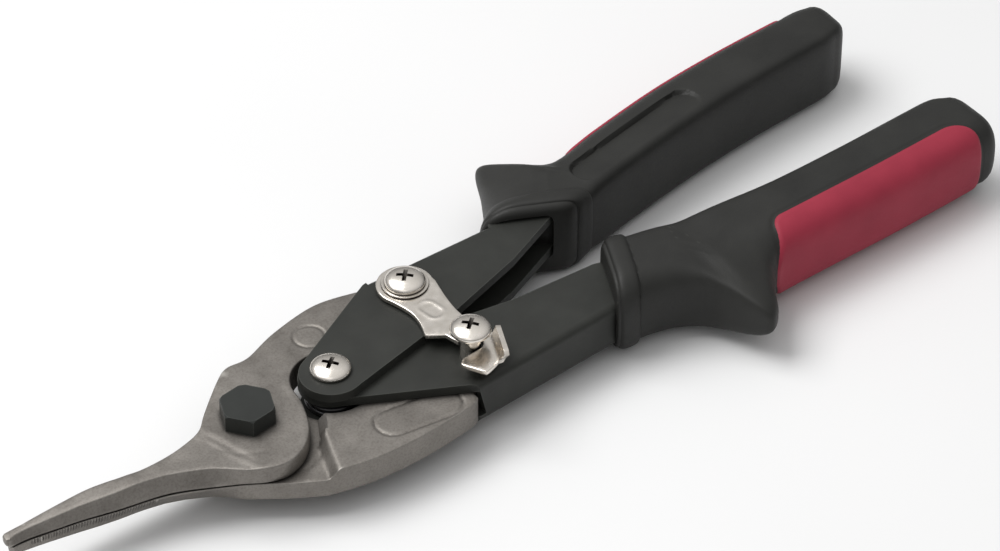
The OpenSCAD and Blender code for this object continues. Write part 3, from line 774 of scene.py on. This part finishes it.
def latch_tab(low, high):
    """The flange bent up from the hook's outer edge, which the thumb pushes; it leans out a little."""
    foot = [np.array([55.9, -13.4]), np.array([53.0, -20.9])]
    crest = [np.array([57.2, -13.1]), np.array([53.1, -22.3])]
    along = (crest[1] - crest[0]) / np.linalg.norm(crest[1] - crest[0])
    out = np.array([-along[1], along[0]])
    thick, rise, tuck, steps = 1.15, 3.1, 1.2, 16
    corner_share, end_height = 0.22, 0.72
    rings = []
    for k in range(steps + 1):
        s = k / steps
        near_end = max(abs(2 * s - 1) - (1 - corner_share), 0) / corner_share
        lift = rise * (end_height + (1 - end_height) * math.sqrt(1 - near_end**2))
        base = foot[0] + (foot[1] - foot[0]) * s
        lean = crest[0] + (crest[1] - crest[0]) * s - base
        inside = [base - out * tuck, base - out * 0.25, base + lean * 0.08, base + lean * 0.25,
                  base + lean * 0.6, base + lean]
        inside_z = [high - 0.25, high - 0.05, high + 0.16, high + 0.55, high + 0.6 * lift, high + lift]
        outside = [base + lean + out * thick, base + lean * 0.6 + out * thick, base + out * thick,
                   base + out * thick * 0.6, base - out * 0.25, base - out * tuck]
        outside_z = [high + lift - 0.1, high + 0.6 * lift, high + 0.1, low + 0.35, low + 0.1, low + 0.25]
        rings.append([(*p, z) for p, z in zip(inside + outside, inside_z + outside_z)])
    points, faces = skin(rings)
    piece = make("latch_thumb_tab", points, faces, 50)
    bevel = piece.modifiers.new("bevel", "BEVEL")
    bevel.width = 0.22 * MM
    bevel.segments = 2
    bevel.angle_limit = math.radians(40)
    paint(piece, NICKEL)
    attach(piece, "latch")


# ---------- Grips ----------

# Each row is one section across a grip: inner edge x, y; outer edge x, y; half height; how square the outer
# side is; and how much thinner it gets towards the outer edge.
THUMB_ROWS = [
    (99.3, 11.9, 78.6, 21.8, 10.0, 2.9, 0), (99.9, 12.1, 80.6, 23.2, 10.0, 2.9, 0.02),
    (100.8, 12.3, 83.4, 26.6, 10.0, 2.8, 0.14), (101.9, 12.5, 88.4, 34.8, 9.9, 2.5, 0.36),
    (103.2, 12.7, 93.4, 43.6, 9.9, 2.2, 0.47), (104.8, 13.0, 97.6, 39.6, 9.9, 2.2, 0.42),
    (107.0, 13.5, 101.6, 32.6, 10.0, 2.5, 0.16), (110.5, 14.3, 106.2, 30.2, 10, 2.9, 0.02),
    (120, 16.5, 119, 33.3, 10, 3.0, 0), (140, 20.4, 140, 37.5, 10, 3.0, 0),
    (160, 23.2, 160, 39.9, 10, 3.0, 0), (180, 24.9, 181, 41.3, 10, 3.0, 0),
    (185.0, 25.4, 186.2, 41.6, 10, 2.9, 0), (188.0, 26.2, 188.9, 41.2, 9.9, 2.8, 0)
]
FINGER_ROWS = [
    (95.6, -2.4, 87.4, -20.1, 10.0, 2.9, 0), (98.6, -3.0, 91.8, -20.5, 10.0, 2.9, 0),
    (102.2, -3.7, 97.4, -21.0, 10.0, 3.0, 0), (105.6, -4.3, 102.8, -22.5, 10.0, 3.4, 0.04),
    (108.2, -4.8, 107.2, -25.5, 10.0, 4.2, 0.12), (110.0, -5.1, 110.0, -30.2, 9.9, 4.8, 0.24),
    (111.4, -5.2, 112.6, -36.6, 9.8, 4.2, 0.36), (113.0, -5.5, 115.0, -40.0, 9.8, 3.1, 0.42),
    (115.2, -5.8, 118.2, -38.2, 9.8, 2.8, 0.38), (117.8, -6.1, 121.6, -33.0, 9.9, 2.7, 0.22),
    (120.8, -6.4, 125.0, -28.9, 10, 2.8, 0.08), (125.5, -6.7, 130.0, -26.9, 10, 3.0, 0),
    (140, -7.6, 145, -26.2, 10, 3.0, 0), (160, -7.2, 163, -25.8, 10, 3.0, 0),
    (180, -6.2, 181, -25, 10, 3.0, 0), (188.4, -6.0, 188.8, -24.6, 10, 2.9, 0),
    (192.2, -7.5, 192.2, -24.2, 9.9, 2.8, 0)
]
RING = 192              # points round a section
RING_STEP = 0.5         # millimetres between sections
INNER_POWER = 7.5       # how square a section's inner side is
END_ROLL = 4.8          # radius of the rear end's edge


def bulge(c, power):
    """A superellipse's share of its half width, by sine or cosine."""
    return np.sign(c) * np.abs(c) ** (2 / power)


def section(row):
    """One evenly spaced ring of a grip, starting at the middle of its outer side."""
    angles = np.linspace(0, 2 * np.pi, 721)
    c, s = np.cos(angles), np.sin(angles)
    power = np.where(c > 0, row[5], INNER_POWER)
    inner, outer = np.array(row[0:2]), np.array(row[2:4])
    across = bulge(c, power)
    flat = (inner + outer) / 2 + across[:, None] * (outer - inner) / 2
    thin = 1 - row[6] * smooth((across + 0.3) / 1.3)
    ring = np.column_stack([flat, row[4] * thin * bulge(s, power)])
    run = np.concatenate([[0], np.cumsum(np.linalg.norm(np.diff(ring, axis=0), axis=1))])
    at = np.linspace(0, run[-1], RING, endpoint=False)
    return np.column_stack([np.interp(at, run, ring[:, k]) for k in range(3)])


def grip_surface(rows):
    """A grip's whole outer surface as an array [ring, point, xyz], with its rings about evenly spaced."""
    rows = np.array(rows)
    outers = rows[:, 2:4]
    middles = (rows[:, 0:2] + outers) / 2
    ts = [0.0]
    for i in range(len(rows) - 1):
        gap = max(np.linalg.norm(line[i + 1] - line[i]) for line in (middles, outers))
        steps = max(2, math.ceil(gap / RING_STEP))
        ts += [i + (k + 1) / steps for k in range(steps)]
    return np.array([section(spline(rows, min(t, len(rows) - 1))) for t in ts])


def surface_normals(grid, side):
    along = np.gradient(grid, axis=0)
    around = np.roll(grid, -1, 1) - np.roll(grid, 1, 1)
    n = np.cross(around, along) * side
    return n / np.maximum(np.linalg.norm(n, axis=2, keepdims=True), 1e-9)


def insert_edge(grid, insert):
    """Signed distance in millimetres from each surface point to a soft insert's outline: below 0 inside.
    The insert wraps the outer side, half_around millimetres each way from its middle; its front edge
    slants back where it comes over the grip's top and bottom."""
    middle = grid[:, 0]
    run = np.concatenate([[0], np.cumsum(np.linalg.norm(np.diff(middle, axis=0), axis=1))])
    start, end = (np.interp(x, middle[:, 0], run) for x in insert["ends"])
    gaps = np.linalg.norm(np.roll(grid, -1, 1) - grid, axis=2)
    out = np.cumsum(gaps, axis=1) - gaps
    around = np.minimum(out, gaps.sum(1, keepdims=True) - out)
    reach = insert["half_around"]
    start = start + insert["slant"] * np.clip((around / reach - 0.15) / 0.85, 0, 1)
    along = run[:, None] - (start + end) / 2
    corner = np.where(along > 0, insert["rear_corner"], insert["front_corner"])
    u = np.abs(along) - (end - start) / 2 + corner
    v = around - reach + corner
    return np.hypot(np.maximum(u, 0), np.maximum(v, 0)) + np.minimum(np.maximum(u, v), 0) - corner


def rounded_end(row, heading, r, steps=7):
    """Rings that roll a grip's end over from its full section to a flat face."""
    inner, outer = np.array(row[0:2]), np.array(row[2:4])
    way = (outer - inner) / np.linalg.norm(outer - inner)
    rings = []
    for k in range(1, steps + 1):
        t = math.pi / 2 * k / steps
        inset = r * (1 - math.cos(t))
        shape = (*(inner + way * inset), *(outer - way * inset), row[4] - inset, row[5], row[6])
        rings.append(section(shape) + heading * r * math.sin(t))
    return rings


def mouth(row, ring, heading, spans):
    """Rings from deep in a grip's front opening out to its rim; the handle's cheeks come out through it.
    spans is how far the opening reaches across the section, -1 to 1, then its low and high levels."""
    depth, lip, flare = 2.6, 0.3, 1.03
    inner, outer = np.array(row[0:2]), np.array(row[2:4])
    middle, half = (inner + outer) / 2, (outer - inner) / 2
    across = (ring[:, :2] - middle) @ half / (half @ half)
    across = spans[0] + (spans[1] - spans[0]) * (across - across.min()) / np.ptp(across)
    height = spans[2] + (spans[3] - spans[2]) * (ring[:, 2] - ring[:, 2].min()) / np.ptp(ring[:, 2])
    rim = np.column_stack([middle + across[:, None] * half, height])
    rim += heading * ((ring[0] - rim[0]) @ heading)
    hub = rim.mean(0)
    return [rim - heading * depth, rim - heading * lip, hub + (rim - hub) * flare]


def grip(name, node, body, rows, side, collar, panel, insert):
    """A moulded handle grip with a front collar, a flared thumb stop and a soft insert in a shallow seat."""
    grid = grip_surface(rows)
    normals = surface_normals(grid, side)
    seat = insert_edge(grid, insert)
    seam = {"deep": 0.28, "out": 0.2, "width": 0.5}
    push = -seam["deep"] * np.exp(-((seat - seam["out"]) / seam["width"]) ** 2)
    behind = np.linalg.norm(grid - grid[0][None], axis=2) / collar["width"]
    push += collar["proud"] * np.sqrt(np.clip(1 - np.abs(2 * behind - 1) ** 3, 0, 1))
    grid = grid + normals * push[:, :, None]
    if panel:
        sink_panel(grid, panel)
    ahead = grid[-1].mean(0) - grid[-2].mean(0)
    ahead /= np.linalg.norm(ahead)
    front = grip_surface(rows[:2])
    back = front[0].mean(0) - front[-1].mean(0)
    back /= np.linalg.norm(back)
    rolled = rounded_end(rows[0], back, collar["roll"])
    rings = mouth(rows[0], rolled[-1], back, collar["mouth"]) + rolled[::-1] + list(grid)
    rings += rounded_end(rows[-1], ahead, END_ROLL)
    if side < 0:
        rings = [ring[::-1] for ring in rings]
    points, faces = skin(rings)
    piece = make(name, points, faces, 44)
    paint(piece, GRIP_BLACK)
    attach(piece, body)
    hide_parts(node)
    soft_insert(name.replace("_moulding", "_soft_insert"), node + "_insert", body, rows, side, insert)


def sink_panel(grid, panel):
    """Sinks a round-ended panel into the grip's top, deepest along its outer side."""
    top_half, wall = 5, 0.5
    c, s = math.cos(math.radians(panel["angle"])), math.sin(math.radians(panel["angle"]))
    middle, half_w = panel["middle"], panel["half_w"]
    for ring in grid:
        for p in ring:
            if p[2] > top_half:
                edge = box_distance(p[0], p[1], middle, panel["half_l"], half_w, panel["angle"],
                                    panel["corner"])
                across = (p[1] - middle[1]) * c - (p[0] - middle[0]) * s
                deep = panel["deep"] * min(max(0.5 + 0.5 * across / half_w, 0), 1)
                p[2] -= deep * float(smooth(0.5 - edge / wall))


def soft_insert(name, node, body, rows, side, insert):
    """The red overmoulding: the grip's own outer surface, a little proud, sinking into its seat at the
    rim, on a sheet of hidden underside."""
    proud, sink, margin, under = 0.42, 1.5, 1.2, -1.6
    grid = grip_surface(rows)
    normals = surface_normals(grid, side)
    seat = insert_edge(grid, insert)
    rise = proud - sink * smooth((seat + 1.3) / 2.2)
    rows_in = np.where((seat < margin).any(1))[0]
    cols_in = np.where((seat < margin).any(0))[0]
    half = max(min(c, RING - c) for c in cols_in)
    order = [c % RING for c in range(-half, half + 1)]
    pick = slice(rows_in[0], rows_in[-1] + 1)
    outer = (grid + normals * rise[:, :, None])[pick][:, order]
    inner = (grid + normals * np.minimum(rise - 0.25, under)[:, :, None])[pick][:, order]
    rings = [list(a) + list(b[::-1]) for a, b in zip(outer, inner)]
    if side < 0:
        rings = [ring[::-1] for ring in rings]
    points, faces = skin(rings, cap_ends=False)
    n = len(rings[0])
    for i, flip in ((0, True), (len(rings) - 1, False)):
        for j in range(n // 2 - 1):
            quad = (i * n + j, i * n + j + 1, i * n + n - 2 - j, i * n + n - 1 - j)
            faces.append(quad[::-1] if flip else quad)
    piece = make(name, points, faces, 50)
    paint(piece, INSERT_RED)
    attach(piece, body)
    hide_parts(node)


# ---------- Spring ----------

def return_spring():
    """A torsion spring round the front pivot's bush; one leg lies in each handle."""
    wire, mean_r = 1.3, 5.4
    turns, leg, steps, leg_steps, sides = 2.5, 26, 120, 12, 14
    rise = (level("return_spring") - level("return_spring", top=False) - wire) / turns
    begin, spread = -94, 8
    path = []
    for k in range(steps + 1):
        a = math.radians(begin - (turns * 360 - spread) * k / steps)
        path.append(np.array([FRONT_PIVOT[0] + mean_r * math.cos(a), mean_r * math.sin(a),
                              rise * turns * (k / steps - 0.5)]))
    ahead, behind = path[-1] - path[-2], path[0] - path[1]
    ahead, behind = ahead / np.linalg.norm(ahead), behind / np.linalg.norm(behind)
    first = [path[0] + behind * leg * k / leg_steps for k in range(leg_steps, 0, -1)]
    last = [path[-1] + ahead * leg * k / leg_steps for k in range(1, leg_steps + 1)]
    path = first + path + last
    angles = np.arange(sides) * 2 * np.pi / sides
    upright = np.array([0, 0, 1])
    rings = []
    for i, p in enumerate(path):
        t = path[min(i + 1, len(path) - 1)] - path[max(i - 1, 0)]
        flat = np.array([-t[1], t[0], 0]) / math.hypot(t[0], t[1])
        rings.append([p + wire / 2 * (math.cos(a) * flat + math.sin(a) * upright) for a in angles])
    points, faces = skin(rings)
    piece = make("torsion_spring", points, faces)
    paint(piece, SPRING)
    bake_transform(piece)
    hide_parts("return_spring")


# ---------- Build ----------

upper_blade()
lower_blade()
pan_screw("front_pivot_pan_screw", "front_pivot_screw", "finger_handle", FRONT_PIVOT, 38)
pan_screw("thumb_link_pan_screw", "thumb_link_screw", "thumb_handle", THUMB_LINK, 47)
pan_screw("latch_post", "latch_post_screw", "finger_handle", FINGER_LINK, 40)
latch()
grip("thumb_grip_moulding", "thumb_grip", "thumb_handle", THUMB_ROWS, 1,
     {"proud": 0.6, "width": 5.0, "roll": 2.0, "mouth": (-0.56, 0.82, THUMB_LOW - 0.6, THUMB_TOP + 0.6)},
     {"middle": (124.6, 23.2), "half_l": 20.8, "half_w": 3.9, "angle": 11.7, "corner": 3.6, "deep": 1.25},
     {"ends": (107.5, 184), "half_around": 8.8, "slant": 0, "front_corner": 5, "rear_corner": 5})
grip("finger_grip_moulding", "finger_grip", "finger_handle", FINGER_ROWS, -1,
     {"proud": 1.0, "width": 5.2, "roll": 0.9, "mouth": (-0.87, 0.86, FINGER_LOW - 0.6, FINGER_TOP + 0.6)},
     None,
     {"ends": (125.8, 191.0), "half_around": 14.6, "slant": 6.5, "front_corner": 3.2, "rear_corner": 7.5})
return_spring()

for node, width, material, slot in (
    ("thumb_handle", 0.35, OXIDE, "oxide_steel"), ("finger_handle", 0.35, OXIDE, "oxide_steel"),
    ("main_bolt", 0.35, BOLT_BLACK, "bolt_black"), ("main_washer", 0.2, BOLT_BLACK, "bolt_black"),
    ("main_nut", 0.3, BOLT_BLACK, "bolt_black"), ("front_pivot_bush", 0.15, NICKEL, "nickel"),
    ("front_pivot_nut", 0.2, NICKEL, "nickel"), ("thumb_link_bush", 0.15, NICKEL, "nickel"),
    ("thumb_link_nut", 0.2, NICKEL, "nickel"), ("finger_link_bush", 0.15, NICKEL, "nickel"),
    ("finger_link_nut", 0.2, NICKEL, "nickel"), ("latch_washer", 0.1, NICKEL, "nickel"),
    ("latch_spring_washer", 0.08, NICKEL, "nickel")
):
    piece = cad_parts[node]
    soften(piece, width)
    paint(piece, material)


# ---------- Floor, light and camera ----------

def floor():
    """A plain pale floor that stretches past the frame, just under the lowest piece."""
    size, low = 6.0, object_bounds()[0].z - 0.1 * MM
    bpy.ops.mesh.primitive_plane_add(size=size, location=(0.1, 0, low))
    piece = bpy.context.object
    piece.name = "floor"
    n = Nodes("floor")
    shade = n.ramp(n.noise(300, 2), [(0.3, (0.74, 0.74, 0.74)), (0.7, (0.78, 0.78, 0.78))])
    piece.data.materials.append(n.put(shade, n.span(n.noise(60, 2), 0.3, 0.7, 0.6, 0.7), 0.0, 0.2))
    piece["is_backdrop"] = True


def soft_light(name, at, aim, size, power):
    data = bpy.data.lights.new(name, "AREA")
    data.shape = "RECTANGLE"
    data.size, data.size_y = size
    data.energy = power
    light = bpy.data.objects.new(name, data)
    light.location = at
    light.rotation_euler = (Vector(aim) - Vector(at)).to_track_quat("-Z", "Y").to_euler()
    bpy.context.scene.collection.objects.link(light)


def studio():
    """Plain studio light: a white shell, dim at the horizon and bright above, and two soft lamps."""
    horizon, overhead, bright_from = 0.10, 0.78, 0.9
    world = bpy.data.worlds.new("studio")
    bpy.context.scene.world = world
    world.use_nodes = True
    tree = world.node_tree
    shell = tree.nodes["Background"]
    shell.inputs["Color"].default_value = (1, 1, 1, 1)
    place = tree.nodes.new("ShaderNodeTexCoord")
    split = tree.nodes.new("ShaderNodeSeparateXYZ")
    fade = tree.nodes.new("ShaderNodeMapRange")
    fade.inputs["From Min"].default_value = 0.0
    fade.inputs["From Max"].default_value = bright_from
    fade.inputs["To Min"].default_value = horizon
    fade.inputs["To Max"].default_value = overhead
    tree.links.new(place.outputs["Generated"], split.inputs["Vector"])
    tree.links.new(split.outputs["Z"], fade.inputs["Value"])
    tree.links.new(fade.outputs["Result"], shell.inputs["Strength"])
    aim = (0.07, 0, 0)
    soft_light("key", (-0.30, 0.40, 1.0), aim, (0.9, 0.7), 11.5)
    soft_light("fill", (-0.5, -0.5, 0.9), aim, (0.6, 0.6), 0.5)
    bpy.context.scene.view_settings.view_transform = "Standard"


def camera():
    """The camera stands off at a raised three-quarter angle, nearly parallel, the snips across its frame."""
    tilt, yaw = math.radians(40.34), math.radians(36.345)
    shift_right, shift_up = 0.00668, 0.011455
    right = Vector((math.cos(yaw), -math.sin(yaw), 0))
    deep = Vector((math.sin(yaw), math.cos(yaw), 0))
    up = math.sin(tilt) * deep + Vector((0, 0, math.cos(tilt)))
    ahead = math.cos(tilt) * deep - Vector((0, 0, math.sin(tilt)))
    distance, target = 1.0, Vector((0.06, 0, 0))
    data = bpy.data.cameras.new("camera")
    data.lens, data.sensor_width = 160.08, 36
    view = bpy.data.objects.new("camera", data)
    place = target - ahead * distance + right * shift_right + up * shift_up
    turn = Matrix((right, up, -ahead)).transposed().to_4x4()
    view.matrix_world = Matrix.Translation(place) @ turn
    bpy.context.scene.collection.objects.link(view)
    bpy.context.scene.camera = view


floor()
studio()
camera()
